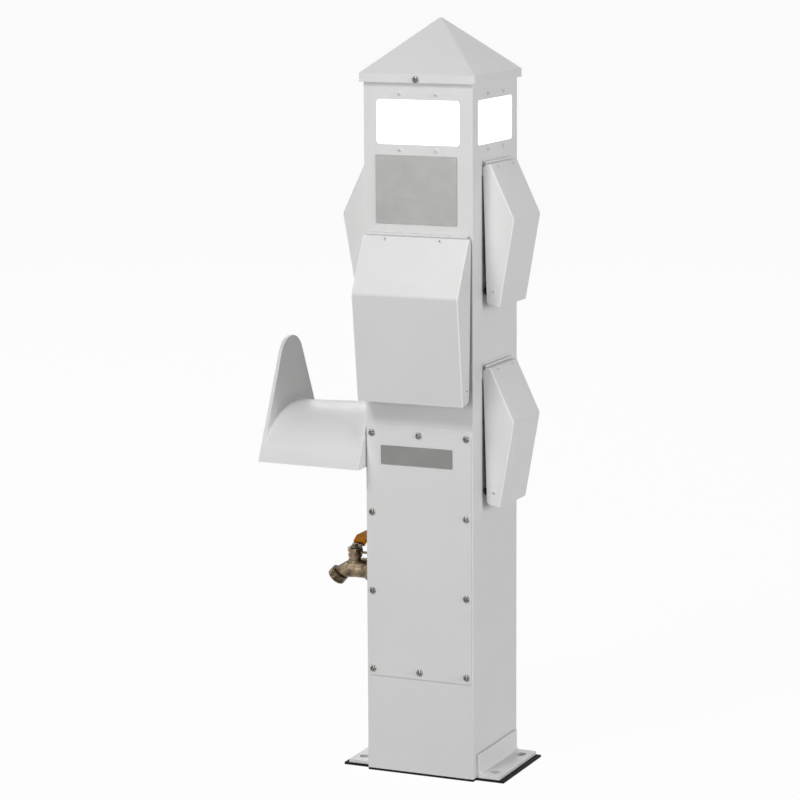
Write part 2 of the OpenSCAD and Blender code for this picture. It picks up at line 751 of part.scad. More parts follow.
module moving_leaf(h) color(white) at_hinge(h) {
    leaf_w = h[2] - 2*hood_t - 2*rest_gap;
    start = [tab_out, -ledge_down];
    end = fold(h) + slope(h)*leaf_reach;
    // It lies against the hood's rounded inside and has a sharp bend of its own
    lying = concat([start], arc_corner(start, fold(h), end, fold_r), [end]);
    tab_end = -ledge_down - hood_t - leaf_t;
    difference() {
        union() {
            across(leaf_w) polygon(concat(beside(lying, hood_t),
                backwards(beside([start, fold(h), end], hood_t + leaf_t))));
            knuckles(h, 1);
            knuckle_webs(h, 1, tab_end, 0, tab_out, tab_out + leaf_t);
        }
        pin_bore(h);
        hinge_rivet_places(h) translate([0, 0, -hood_t - leaf_t - cut])
            cylinder(d = rivet_d + 2*fit, h = leaf_t + 2*cut);
    }
}

module hinge_pins() color(steel) for (h = concat([FRONT_HOOD], SIDE_HOODS))
    at_hinge(h) translate([0, -pin_out, 0]) along_x(pin_d, h[3]*knuckle_len + 1);

module hood_rivets(h) color(white) at_hinge(h) {
    hinge_rivet_places(h) rivet(hood_t + leaf_t);
    bumper_rivet_places(h) rivet(hood_t + bumper_d/2);
}
// Blind rivet, open down its middle
rivet_past = 0.8;
module rivet(len) difference() {
    dome_screw(rivet_d, rivet_head_d, 0.3*rivet_head_d, len + rivet_past);
    translate([0, 0, -len - rivet_past - cut])
        cylinder(d = rivet_bore, h = len + rivet_past + rivet_head_d + cut);
}

// Bumpers point at the column with a round nose and lie flat on the side walls
bumper_deep = sqrt(pow(bumper_d/2, 2) - pow(bumper_flat/2, 2));
module hood_bumpers(h) color(black) at_hinge(h) {
    wall_in = h[2]/2 - hood_t;
    difference() {
        for (x = [-1, 1]) intersection() {
            translate([x*(wall_in - bumper_deep), 0, bumper_up - h[8]]) {
                translate([0, -rest_gap - bumper_d/2, 0]) sphere(d = bumper_d);
                translate([0, -rest_gap - bumper_d/2, 0]) rotate([90, 0, 0])
                    cylinder(d = bumper_d, h = bumper_out - rest_gap - bumper_d/2);
            }
            translate([-wall_in, -2*bumper_out, -2*h[8]])
                cube([2*wall_in, 2*bumper_out, 2*h[8]]);
        }
        bumper_rivet_places(h) translate([0, 0, -hood_t - bumper_d])
            cylinder(d = rivet_d + 2*fit, h = bumper_d + cut);
    }
}

// Breakers on their plate
breaker_opening_w = (breaker_count - 1)*breaker_pitch + breaker_w + 6;
breaker_opening_h = breaker_h + 8;
plate_screw_edge = 7;
module breaker_screw_places() for (x = [-1, 1], z = [-1, 1])
    translate([x*(breaker_plate_w/2 - plate_screw_edge), 0,
               z*(breaker_plate_h/2 - plate_screw_edge)]) children();
function breaker_x(i) = (i - (breaker_count - 1)/2)*breaker_pitch;

module breaker_plate() color(steel) on_face(FRONT, breaker_z) difference() {
    raised(breaker_plate_t) rounded_rect(breaker_plate_w, breaker_plate_h, 4);
    breaker_screw_places() raised(breaker_plate_t + cut, cut) circle(d = screw_d + 2*loose);
    for (i = [0:breaker_count - 1]) translate([breaker_x(i), 0, 0])
        raised(breaker_plate_t + cut, cut)
            square([collar_w + 2*loose, collar_h + 2*loose], center = true);
}

// The toggle's slot is as tall as its swing needs at the collar's face
trunnion_d = 3;
collar_face = breaker_plate_t + collar_out;
toggle_barrel_d = toggle_t + 3;
slot_half = (collar_face + toggle_pivot)*tan(toggle_swing/2)
    + toggle_t/2/cos(toggle_swing/2) + 0.6;
module breakers() color(black) on_face(FRONT, breaker_z) for (i = [0:breaker_count - 1])
    translate([breaker_x(i), 0, 0]) difference() {
        union() {
            raised(0, breaker_deep) square([breaker_w, breaker_h], center = true);
            raised(collar_face) square([collar_w, collar_h], center = true);
        }
        raised(collar_face + cut, toggle_pivot + toggle_barrel_d/2 + 1)
            square([toggle_w + 1, 2*slot_half], center = true);
        translate([0, toggle_pivot, 0]) along_x(trunnion_d + 2*fit, collar_w - 2);
    }

module toggle(i) color([0.2, 0.2, 0.21]) on_face(FRONT, breaker_z)
    translate([breaker_x(i), toggle_pivot, 0]) rotate([-toggle_swing/2, 0, 0]) {
        along_x(toggle_barrel_d, toggle_w);
        along_x(trunnion_d, collar_w - 3);
        translate([-toggle_w/2, -toggle_len + toggle_t/2, -toggle_t/2])
            cube([toggle_w, toggle_len - toggle_t/2, toggle_t]);
        translate([0, -toggle_len + toggle_t/2, 0]) along_x(toggle_t, toggle_w);
    }

// Outlets
module outlet_screw_places() for (x = [-1, 1], z = [-1, 1])
    translate([x*outlet_screw_dx/2, 0, z*outlet_screw_dx/2]) children();

module outlet(h) color([0.16, 0.16, 0.17]) on_face(h[0], h[1] - outlet_down) difference() {
    union() {
        raised(outlet_flange_t) rounded_rect(outlet_flange_w, outlet_flange_w, 6);
        raised(outlet_flange_t + outlet_face_out) circle(d = outlet_face_d);
        raised(0, outlet_deep) circle(d = outlet_body_d);
    }
    outlet_screw_places() raised(outlet_flange_t + cut, cut) circle(d = screw_d + 2*loose);
    // Three curved contact slots
    raised(outlet_flange_t + outlet_face_out + cut, slot_deep - outlet_face_out)
        for (turn = [90, 210, 330]) contact_slot(turn);
}
module contact_slot(turn) {
    reach = 40;
    difference() {
        polygon(concat([[0, 0]], [for (a = [-20, 0, 20]) reach*[cos(turn + a), sin(turn + a)]]));
        circle(slot_ring_r - slot_w/2);
        difference() {
            circle(2*reach);
            circle(slot_ring_r + slot_w/2);
        }
    }
}

module fixing_screws() color(steel) {
    for (h = SIDE_HOODS) on_face(h[0], h[1] - outlet_down) outlet_screw_places()
        translate([0, -outlet_flange_t, 0]) facing_out()
            machine_screw(outlet_flange_t + col_wall + screw_past);
    on_face(FRONT, breaker_z) breaker_screw_places() translate([0, -breaker_plate_t, 0])
        facing_out() machine_screw(breaker_plate_t + col_wall + screw_past);
}

// Terminals and wiring
block_pitch = block_w/block_ways;
function block_x(i) = (i - (block_ways - 1)/2)*block_pitch;
block_back = half - col_wall;
block_front = block_back - block_deep;
block_rim = 12;
block_screw_d = 6;
module terminal_block() color([0.25, 0.2, 0.16]) difference() {
    translate([-block_w/2, block_front, block_z - block_h/2]) cube([block_w, block_deep, block_h]);
    // One channel per wire, open to the front, with a screw in its floor
    for (i = [0:block_ways - 1]) translate([block_x(i), block_front - cut, block_z]) {
        translate([-0.36*block_pitch, 0, block_rim - block_h/2])
            cube([0.72*block_pitch, 0.35*block_deep + cut, block_h - 2*block_rim]);
        rotate([-90, 0, 0]) cylinder(d = block_screw_d, h = 0.6*block_deep + cut);
    }
}

ground_bar_t = 8;
ground_bar_h = 14;
bar_holes = 6;
bar_hole_d = 5;
module ground_bar() color([0.75, 0.6, 0.3]) on_face(RIGHT, ground_bar_z) difference() {
    translate([-ground_bar_len/2, col_wall, -ground_bar_h/2])
        cube([ground_bar_len, ground_bar_t, ground_bar_h]);
    for (i = [0:bar_holes - 1])
        translate([(i - (bar_holes - 1)/2)*ground_bar_len/(bar_holes + 1), col_wall - cut, 0])
            rotate([-90, 0, 0]) cylinder(d = bar_hole_d, h = ground_bar_t + 2*cut);
}

// A wire as a tube along rounded points, from start to end
wire_sides = 8;
function wire_path(p, r) = concat([p[0]],
    [for (i = [1:len(p) - 2]) each bend3(p[i - 1], p[i], p[i + 1], r)], [p[len(p) - 1]]);
function bend3(a, b, c, r, steps = 4) =
    let (u = unit(a - b), v = unit(c - b), s = acos(u*v)/2,
         m = b + unit(u + v)*r/sin(s), p = b + u*r/tan(s) - m, q = b + v*r/tan(s) - m,
         full = 180 - 2*s)
    [for (i = [0:steps])
        let (t = i/steps) m + (p*sin((1 - t)*full) + q*sin(t*full))/sin(full)];
function tangent(p, i) = i == 0 ? unit(p[1] - p[0])
    : i == len(p) - 1 ? unit(p[i] - p[i - 1]) : unit(unit(p[i] - p[i - 1]) + unit(p[i + 1] - p[i]));
// Ring around a point: the guide direction keeps neighbouring rings in step
function ring(c, t, guide, r) =
    let (a = unit(guide - t*(guide*t)), b = cross(t, a))
    [for (k = [0:wire_sides - 1])
        c + r*(a*cos(360*k/wire_sides) + b*sin(360*k/wire_sides))];
module wire(points, guide) {
    p = wire_path(points, 2.5*wire_d);
    n = len(p);
    rings = [for (i = [0:n - 1]) each ring(p[i], tangent(p, i), guide, wire_d/2)];
    polyhedron(rings, concat(
        [[for (k = [0:wire_sides - 1]) k]],
        [[for (k = [wire_sides - 1:-1:0]) (n - 1)*wire_sides + k]],
        [for (i = [0:n - 2], k = [0:wire_sides - 1])
            let (k1 = (k + 1) % wire_sides, a = i*wire_sides, b = a + wire_sides)
            each [[a + k, b + k, b + k1], [a + k, b + k1, a + k1]]]));
}

// Wires run up the inside: from the block to each breaker, and from the
// breakers' backs to the outlets and to the lamp
breaker_back = -half + breaker_deep;
outlet_back = half - outlet_deep;
module wiring() color([0.75, 0.15, 0.1]) {
    block_top = block_z + block_h/2;
    breaker_foot = breaker_z - breaker_h/2;
    block_y = block_back - block_deep/2;
    rise_y = breaker_back - 14;
    for (i = [0:breaker_count - 1]) wire([
        [block_x(i), block_y, block_top],
        [block_x(i), block_y, block_top + 60 + 25*i],
        [breaker_x(i), rise_y, breaker_foot - 90 + 25*i],
        [breaker_x(i), rise_y, breaker_foot]], [1, 0.01, 0]);
    upper_z = upper_hood_z - outlet_down;
    for (side = [-1, 1]) wire([
        [side*breaker_pitch, breaker_back, breaker_z + 10],
        [side*breaker_pitch, breaker_back + 40, breaker_z + 10],
        [side*(outlet_back - 19), breaker_back + 40, upper_z - 20],
        [side*(outlet_back - 19), 0, upper_z],
        [side*outlet_back, 0, upper_z]], [0.3, 1, 0.2]);
    lower_z = lower_hood_z - outlet_down;
    wire([
        [0, breaker_back, breaker_z - 10],
        [0, breaker_back + 55, breaker_z - 10],
        [outlet_back - 24, breaker_back + 55, lower_z + 30],
        [outlet_back - 24, 0, lower_z],
        [outlet_back, 0, lower_z]], [1, 0.4, 0.1]);
    wire([
        [0, breaker_back, breaker_z + 26],
        [0, half - col_wall - 20, breaker_z + 26],
        [0, half - col_wall - 20, shelf_z - 60],
        [lead_x, 0, shelf_z - 40],
        [lead_x, 0, shelf_z + 3]], [1, 0.01, 0]);
}

// Water. Tap pieces are drawn with +X out of the left face, from the face
tap_shank_d = 20.8;
tap_shank_in = 16;
socket_wall = 3.4;
socket_short = 2;
module at_tap() translate([-half, 0, tap_z]) rotate([0, 0, 180]) children();
module out_tube(d, from, to, sides = $fn) translate([from, 0, 0]) rotate([0, 90, 0])
    cylinder(d = d, h = to - from, $fn = sides);

pipe_x = -half + col_wall + tap_shank_in + rest_gap + pipe_bend_r;
riser_socket_d = tap_shank_d + 2*socket_wall;
// Cross-section of the pipe
module pipe_ring() difference() {
    circle(d = pipe_d);
    circle(d = pipe_bore);
}
module water_riser() color([0.72, 0.45, 0.3]) {
    bend_z = tap_z - pipe_bend_r;
    translate([pipe_x, 0, pipe_foot_z]) linear_extrude(bend_z - pipe_foot_z) pipe_ring();
    translate([pipe_x - pipe_bend_r, 0, bend_z]) rotate([90, 0, 0])
        rotate_extrude(angle = 90) translate([pipe_bend_r, 0]) pipe_ring();
    // Socket that slips over the tap's shank
    translate([pipe_x - pipe_bend_r, 0, tap_z]) rotate([0, -90, 0]) difference() {
        cylinder(d = riser_socket_d, h = tap_shank_in - socket_short);
        translate([0, 0, -cut]) cylinder(d = pipe_bore, h = rest_gap + 2*cut);
        translate([0, 0, rest_gap]) cylinder(d = tap_shank_d + 2*fit, h = tap_shank_in);
    }
}

hex_af = 33;
hex_from = 18;
hex_to = 30;
flare_mid = 34;
flare_to = 39;
tap_plate_t = 3;
neck_d = 19.2;
neck_top = 12.6;
bonnet_thread_d = 14;
bonnet_thread_top = 21;
bonnet_d = 16.8;
bonnet_top = 24;
bonnet_ring_z = 16.4;
bonnet_ring_h = 4.6;
bonnet_flange_d = 22.8;
bonnet_flange_h = 4.6;
spout_neck_d = 18.4;
spout_len = 20.6;
hose_bore = 20.9;
hose_bore_deep = 8;
post_w = 5;
lug_t = 2.4;
spout_out = tap_stem_out + 15.8;
// Turns +Z into the spout's direction, at the spout's root on the barrel's axis
module at_spout() translate([spout_out, 0, 0]) rotate([0, 90 + spout_angle, 0]) children();
module out_cone(d1, d2, from, to) translate([from, 0, 0]) rotate([0, 90, 0])
    cylinder(d1 = d1, d2 = d2, h = to - from);

module tap_body() color(bronze) at_tap() difference() {
    flare_d = (hex_af + 3*tap_barrel_d)/4;
    union() {
        out_tube(tap_shank_d, -col_wall - tap_shank_in, cut);
        out_tube(tap_flange_d, 0, tap_plate_t);
        out_tube(tap_shank_d + 2*tap_plate_t, cut, hex_from + cut);
        out_tube(hex_af/cos(30), hex_from, hex_to, 6);
        out_cone(hex_af, flare_d, hex_to, flare_mid);
        out_cone(flare_d, tap_barrel_d, flare_mid, flare_to);
        out_tube(tap_barrel_d, flare_to - cut, tap_stem_out);
        // The barrel turns down and narrows to the hose thread
        hull() {
            out_tube(tap_barrel_d, tap_stem_out - cut, tap_stem_out);
            translate([tap_stem_out + neck_d/4, 0, 0]) sphere(d = tap_barrel_d);
            at_spout() translate([0, 0, spout_len - hose_thread_len])
                cylinder(d = spout_neck_d, h = cut);
        }
        translate([tap_stem_out, 0, 0]) {
            cylinder(d = neck_d, h = neck_top);
            cylinder(d = bonnet_thread_d, h = bonnet_thread_top);
        }
        at_spout() translate([0, 0, spout_len - hose_thread_len])
            cylinder(d = hose_thread_d, h = hose_thread_len);
        stop_post();
    }
    out_tube(tap_bore, -col_wall - tap_shank_in - cut, tap_stem_out);
    translate([tap_stem_out, 0, 0]) {
        sphere(d = tap_ball_d + 2*fit);
        cylinder(d = tap_stem_d + 2*fit, h = bonnet_thread_top + cut);
    }
    out_tube(tap_bore, tap_stem_out, spout_out);
    translate([spout_out, 0, 0]) sphere(d = tap_bore);
    at_spout() cylinder(d = tap_bore, h = spout_len + cut);
    at_spout() translate([0, 0, spout_len - hose_bore_deep])
        cylinder(d = hose_bore, h = hose_bore_deep + cut);
}
// Post with two lugs, which the lever turns against
module stop_post() translate([hex_to - post_w, 0, 0]) {
    translate([0, -post_w/2, 0]) cube([post_w, post_w, bonnet_top + cut]);
    for (z = [neck_top, bonnet_top - lug_t]) translate([0, -post_w/2, z])
        cube([tap_stem_out - neck_d/2 - cut - hex_to + post_w, post_w, lug_t]);
}

module tap_bonnet() color(bronze) at_tap() translate([tap_stem_out, 0, 0]) difference() {
    union() {
        translate([0, 0, neck_top + rest_gap])
            cylinder(d = bonnet_d, h = bonnet_top - neck_top - rest_gap);
        translate([0, 0, bonnet_ring_z]) cylinder(d = neck_d, h = bonnet_ring_h);
        translate([0, 0, bonnet_top]) cylinder(d = bonnet_flange_d, h = bonnet_flange_h, $fn = 6);
    }
    cylinder(d = bonnet_thread_d + 2*fit, h = bonnet_thread_top + rest_gap);
    cylinder(d = tap_stem_d + 2*fit, h = hub_z);
}

// Levels above the barrel's axis
hub_z = bonnet_top + bonnet_flange_h + rest_gap;
stem_tip = hub_z + lever_t + 3;
hub_d = 14;
stem_thread_d = 4;
module tap_stem() color(bronze) at_tap() translate([tap_stem_out, 0, 0]) difference() {
    union() {
        sphere(d = tap_ball_d);
        cylinder(d = tap_stem_d, h = hub_z - fit);
        cylinder(d = stem_thread_d, h = stem_tip);
    }
    // The ball's bore lies across the barrel while the tap is shut
    rotate([90, 0, 0]) cylinder(d = tap_bore - 1, h = 2*tap_ball_d, center = true);
}

// The lever's side view, with +X along the lever
bend_start = 9;
bend_end = 23.5;
// The grip starts beyond the bonnet's corners, which it passes as the lever turns
grip_clear = 0.6;
grip_start = bonnet_flange_d/2 + grip_clear;
function lever_line(past) =
    [[-hub_d/2, 0], [bend_start, 0], [bend_end, lever_rise], [lever_len + past, lever_rise]];
module lever_side(t, from_x, past = 0) intersection() {
    strip(lever_line(past), t/2, -t/2);
    translate([from_x, -lever_len]) square(2*lever_len);
}
// Stands the side view up at the stem, along the column's +Y
module at_lever() at_tap() translate([tap_stem_out, 0, hub_z + lever_t/2]) rotate([0, 0, -90])
    children();
module lever_sweep(w) translate([0, w/2, 0]) rotate([90, 0, 0]) linear_extrude(w) children();

module tap_lever() color(steel) difference() {
    union() {
        at_lever() lever_sweep(lever_w) lever_side(lever_t, 0);
        at_lever() translate([0, 0, -lever_t/2]) cylinder(d = hub_d, h = lever_t);
    }
    at_lever() cylinder(d = stem_thread_d + 2*fit, h = 4*lever_t, center = true);
}

// The grip is closed past the lever's end
module tap_grip() color([0.93, 0.45, 0.1]) at_lever() difference() {
    lever_sweep(lever_w + 2*grip_t) lever_side(lever_t + 2*grip_t, grip_start, grip_t);
    lever_sweep(lever_w + 2*fit) lever_side(lever_t + 2*fit, 0);
}

nut_af = 8;
nut_t = 2.8;
module tap_nut() color(steel) at_tap() translate([tap_stem_out, 0, hub_z + lever_t])
    difference() {
        cylinder(d = nut_af/cos(30), h = nut_t, $fn = 6);
        translate([0, 0, -cut]) cylinder(d = stem_thread_d + 2*fit, h = nut_t + 2*cut, $fn = 24);
    }

// Hose hanger: side views are drawn on the left face, from the lower edge. The
// saddle is a part of a cone, and its radius is given at the tongue
saddle_r = (pow(hanger_w/2, 2) + pow(saddle_rise, 2))/(2*saddle_rise);
saddle_mid = saddle_rise - saddle_r;
// Half width of the saddle's lower edge at the wall
wall_half = sqrt(pow(saddle_r + saddle_flare, 2) - pow(saddle_mid, 2));
tongue_mid = tongue_h - tongue_r;
// Where the tongue's straight edge meets its round top
tongue_turn = atan2(-tongue_mid, hanger_w/2) + acos(tongue_r/norm([hanger_w/2, tongue_mid]));
tongue_edge = [tongue_r*cos(tongue_turn), tongue_mid + tongue_r*sin(tongue_turn)];
flange_corner_r = 12;

module tongue_outline() {
    polygon([[-hanger_w/2, 0], [hanger_w/2, 0], tongue_edge, [-tongue_edge[0], tongue_edge[1]]]);
    intersection() {
        translate([0, tongue_mid]) circle(tongue_r);
        translate([-tongue_r, tongue_edge[1]]) square(2*tongue_r);
    }
}
module flange_outline() {
    // Its sides lean in like the tongue's
    top = wall_half - (hanger_w/2 - tongue_edge[0])*hanger_flange_h/tongue_edge[1];
    polygon(concat([[-wall_half, 0], [wall_half, 0]],
        arc_corner([wall_half, 0], [top, hanger_flange_h], [0, hanger_flange_h],
            flange_corner_r),
        arc_corner([0, hanger_flange_h], [-top, hanger_flange_h], [-wall_half, 0],
            flange_corner_r)));
}
module hanger_bolt_places() {
    for (x = [-1, 1]) {
        translate([x*bolt_dx_low/2, 0, bolt_low]) children();
        translate([x*bolt_dx_top/2, 0, hanger_flange_h - bolt_top]) children();
    }
}

module hose_hanger() color(white) on_face(LEFT, hanger_z) difference() {
    union() {
        raised(hanger_flange_t) flange_outline();
        intersection() {
            translate([0, tongue_t - hanger_len, saddle_mid]) rotate([-90, 0, 0]) difference() {
                saddle_cone(0, 0);
                saddle_cone(saddle_t, cut);
            }
            translate([-hanger_w, -hanger_len, 0]) cube([2*hanger_w, hanger_len, hanger_w]);
        }
        translate([0, tongue_t - hanger_len, 0]) raised(tongue_t) tongue_outline();
        saddle_fillet();
    }
    hanger_bolt_places() raised(hanger_flange_t + cut, cut) circle(d = bolt_d + 2*loose);
}
saddle_len = hanger_len - hanger_flange_t - tongue_t;
// The saddle's cone with its radius made smaller by "less" and its ends longer by "past"
module saddle_cone(less, past) translate([0, 0, -past])
    cylinder(r1 = saddle_r - less - past*saddle_flare/saddle_len,
        r2 = saddle_r - less + (1 + past/saddle_len)*saddle_flare,
        h = saddle_len + 2*past, $fn = 96);
// Concave fillet where the saddle meets the tongue
module saddle_fillet() intersection() {
    translate([0, tongue_t - hanger_len, saddle_mid]) rotate([-90, 0, 0])
        rotate_extrude($fn = 96) difference() {
            translate([saddle_r - saddle_t/2, 0])
                square([saddle_t/2 + hanger_fillet, hanger_fillet]);
            translate([saddle_r + hanger_fillet, hanger_fillet]) circle(hanger_fillet);
        }
    translate([0, tongue_t - hanger_len + hanger_fillet, 0]) raised(hanger_fillet) tongue_outline();
}

module hanger_bolts() color(steel) on_face(LEFT, hanger_z) hanger_bolt_places() {
    nut_h = 0.8*bolt_d;
    bolt_len = hanger_flange_t + col_wall + nut_h + 2*screw_past;
    translate([0, -hanger_flange_t, 0]) facing_out() {
        cylinder(d = bolt_head/cos(30), h = 0.65*bolt_d, $fn = 6);
        translate([0, 0, -bolt_len]) cylinder(d = bolt_d, h = bolt_len);
    }
    translate([0, col_wall + nut_h, 0]) facing_out() difference() {
        cylinder(d = bolt_head/cos(30), h = nut_h, $fn = 6);
        translate([0, 0, -cut]) cylinder(d = bolt_d + 2*fit, h = nut_h + 2*cut);
    }
}

base_gasket();
base_angle_left();
base_angle_right();
column();
cap();
cap_screws();
lens(FRONT);  // lens_front
lens(RIGHT);  // lens_right
lens(BACK);  // lens_back
lens(LEFT);  // lens_left
lens_screws();
lamp_shelf();
lamp_socket();
lamp();
data_plate();
access_panel();
panel_plate();
panel_screws();
hood(FRONT_HOOD);  // front_hood
moving_leaf(FRONT_HOOD);  // front_hood_leaf
hood_rivets(FRONT_HOOD);  // front_hood_rivets
hood_bumpers(FRONT_HOOD);  // front_hood_bumpers
hood(RIGHT_UPPER);  // right_upper_hood
moving_leaf(RIGHT_UPPER);  // right_upper_hood_leaf
hood_rivets(RIGHT_UPPER);  // right_upper_hood_rivets
hood_bumpers(RIGHT_UPPER);  // right_upper_hood_bumpers
hood(RIGHT_LOWER);  // right_lower_hood
moving_leaf(RIGHT_LOWER);  // right_lower_hood_leaf
hood_rivets(RIGHT_LOWER);  // right_lower_hood_rivets
hood_bumpers(RIGHT_LOWER);  // right_lower_hood_bumpers
hood(LEFT_UPPER);  // left_upper_hood
moving_leaf(LEFT_UPPER);  // left_upper_hood_leaf
hood_rivets(LEFT_UPPER);  // left_upper_hood_rivets
hood_bumpers(LEFT_UPPER);  // left_upper_hood_bumpers
fixed_leaf(FRONT_HOOD);  // front_fixed_leaf
fixed_leaf(RIGHT_UPPER);  // right_upper_fixed_leaf
fixed_leaf(RIGHT_LOWER);  // right_lower_fixed_leaf
fixed_leaf(LEFT_UPPER);  // left_upper_fixed_leaf
hinge_pins();
breaker_plate();
breakers();
toggle(0);  // toggle_left
toggle(1);  // toggle_middle
toggle(2);  // toggle_right
outlet(RIGHT_UPPER);  // outlet_right_upper
outlet(RIGHT_LOWER);  // outlet_right_lower
outlet(LEFT_UPPER);  // outlet_left_upper
fixing_screws();
terminal_block();
ground_bar();
wiring();
water_riser();
tap_body();
tap_bonnet();
tap_stem();
tap_lever();
tap_grip();
tap_nut();
hose_hanger();
hanger_bolts();
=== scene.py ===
"""A dock power pedestal in plain studio light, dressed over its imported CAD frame.

Metres, in the frame of the CAD: the column stands on z = 0 and faces -Y."""
import json
import math

import bmesh
import bpy
from mathutils import Matrix, Vector


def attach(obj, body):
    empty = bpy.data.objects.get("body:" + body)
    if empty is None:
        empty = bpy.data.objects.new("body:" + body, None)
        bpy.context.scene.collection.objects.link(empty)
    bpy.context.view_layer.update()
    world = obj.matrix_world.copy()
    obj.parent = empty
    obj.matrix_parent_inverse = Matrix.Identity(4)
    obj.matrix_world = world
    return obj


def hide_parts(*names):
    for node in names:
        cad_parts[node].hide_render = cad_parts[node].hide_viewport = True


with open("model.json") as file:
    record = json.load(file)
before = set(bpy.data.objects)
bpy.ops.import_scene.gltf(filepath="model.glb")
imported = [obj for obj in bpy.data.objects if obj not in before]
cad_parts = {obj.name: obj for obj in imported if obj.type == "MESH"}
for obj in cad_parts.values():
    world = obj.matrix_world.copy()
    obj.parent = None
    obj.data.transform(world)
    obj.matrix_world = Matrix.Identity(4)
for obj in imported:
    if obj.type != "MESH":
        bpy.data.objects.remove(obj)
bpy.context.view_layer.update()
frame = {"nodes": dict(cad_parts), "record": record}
NODES = frame["nodes"]
BODY_OF = {node: body for body, members in frame["record"]["behaviour"]["bodies"].items()
           for node in members}
SLOT_OF = {part["node"]: part["material_slot"] for part in frame["record"]["subparts"]}
MM = 0.001

# Camera, at the photograph's view
CAMERA_PLACE = Vector((1.580187, -3.676671, 1.186195))
CAMERA_AZIMUTH = math.radians(24.054)
CAMERA_DIP = math.radians(9.8)
CAMERA_ROLL = math.radians(-0.312)
CAMERA_LENS = 137.94
CAMERA_SENSOR = 36.0
CAMERA_REACH = 200.0

# Studio
FLOOR_SIZE = 90.0
# The floor's own glow where it is seen directly, and its tones there and as a light source
FLOOR_GLOW = 0.95
FLOOR_SEEN = (0.95, 0.95, 0.95)
FLOOR_BOUNCE = (0.35, 0.35, 0.35)
WORLD_LEVEL = 0.16
# Each lamp: name, place, aimed at, size, power in watts
LAMPS = [
    ("key", (-0.9, -3.1, 3.9), (0.0, 0.0, 0.6), 1.6, 81.0),
    ("front", (-1.2, -4.6, 0.9), (0.0, 0.0, 0.6), 2.2, 56.0),
    ("fill", (4.6, -1.0, 1.1), (0.0, 0.0, 0.5), 2.4, 103.0),
    ("rear", (-1.9, 3.7, 3.3), (0.0, 0.0, 0.6), 1.6, 31.0),
    ("left", (-5.0, 0.7, 1.2), (0.0, 0.0, 0.6), 2.4, 60.0),
]

# Sockets of a Mix node that is set to colours
MIX_FACTOR = 0
MIX_FIRST = 6
MIX_SECOND = 7
MIX_RESULT = 2


# Camera and studio

def add_camera():
    """A level-right camera turned by azimuth and dip, then rolled about its view line."""
    forward = Vector((-math.sin(CAMERA_AZIMUTH) * math.cos(CAMERA_DIP),
                      math.cos(CAMERA_AZIMUTH) * math.cos(CAMERA_DIP),
                      -math.sin(CAMERA_DIP)))
    level_right = Vector((math.cos(CAMERA_AZIMUTH), math.sin(CAMERA_AZIMUTH), 0.0))
    level_up = level_right.cross(forward)
    right = level_right * math.cos(CAMERA_ROLL) + level_up * math.sin(CAMERA_ROLL)
    up = level_up * math.cos(CAMERA_ROLL) - level_right * math.sin(CAMERA_ROLL)
    data = bpy.data.cameras.new("camera")
    data.lens = CAMERA_LENS
    data.sensor_width = CAMERA_SENSOR
    data.clip_end = CAMERA_REACH
    camera = bpy.data.objects.new("camera", data)
    turn = Matrix((right, up, -forward)).transposed().to_4x4()
    camera.matrix_world = Matrix.Translation(CAMERA_PLACE) @ turn
    bpy.context.scene.collection.objects.link(camera)
    bpy.context.scene.camera = camera


def add_lamps():
    for name, place, target, size, power in LAMPS:
        data = bpy.data.lights.new(name, "AREA")
        data.shape = "DISK"
        data.size = size
        data.energy = power
        lamp = bpy.data.objects.new(name, data)
        aim = Vector(target) - Vector(place)
        lamp.matrix_world = (Matrix.Translation(place)
                             @ aim.to_track_quat("-Z", "Y").to_matrix().to_4x4())
        bpy.context.scene.collection.objects.link(lamp)


def seen_directly(nodes):
    """1 for rays that should meet the white background: camera, mirror and glass rays."""
    path = nodes.new("ShaderNodeLightPath")
    seen = path.outputs["Is Camera Ray"]
    for kind in ("Is Glossy Ray", "Is Transmission Ray"):
        either = nodes.new("ShaderNodeMath")
        either.operation = "MAXIMUM"
        nodes.id_data.links.new(seen, either.inputs[0])
        nodes.id_data.links.new(path.outputs[kind], either.inputs[1])
        seen = either.outputs[0]
    return seen


def mixed_color(nodes, factor, first, second):
    """The colour between two, each of which is a tone or the socket of another node."""
    mix = nodes.new("ShaderNodeMix")
    mix.data_type = "RGBA"
    links = nodes.id_data.links
    links.new(factor, mix.inputs[MIX_FACTOR])
    for place, color in ((MIX_FIRST, first), (MIX_SECOND, second)):
        if isinstance(color, tuple):
            mix.inputs[place].default_value = (*color, 1.0)
        else:
            links.new(color, mix.inputs[place])
    return mix.outputs[MIX_RESULT]


def add_world():
    """A quiet even light that shows as white where it is seen directly."""
    world = bpy.data.worlds.new("studio")
    bpy.context.scene.world = world
    world.use_nodes = True
    nodes = world.node_tree.nodes
    links = world.node_tree.links
    nodes.clear()
    soft = nodes.new("ShaderNodeBackground")
    soft.inputs["Strength"].default_value = WORLD_LEVEL
    white = nodes.new("ShaderNodeBackground")
    for background in (soft, white):
        background.inputs["Color"].default_value = (1.0, 1.0, 1.0, 1.0)
    mix = nodes.new("ShaderNodeMixShader")
    out = nodes.new("ShaderNodeOutputWorld")
    links.new(seen_directly(nodes), mix.inputs["Fac"])
    links.new(soft.outputs[0], mix.inputs[1])
    links.new(white.outputs[0], mix.inputs[2])
    links.new(mix.outputs[0], out.inputs["Surface"])


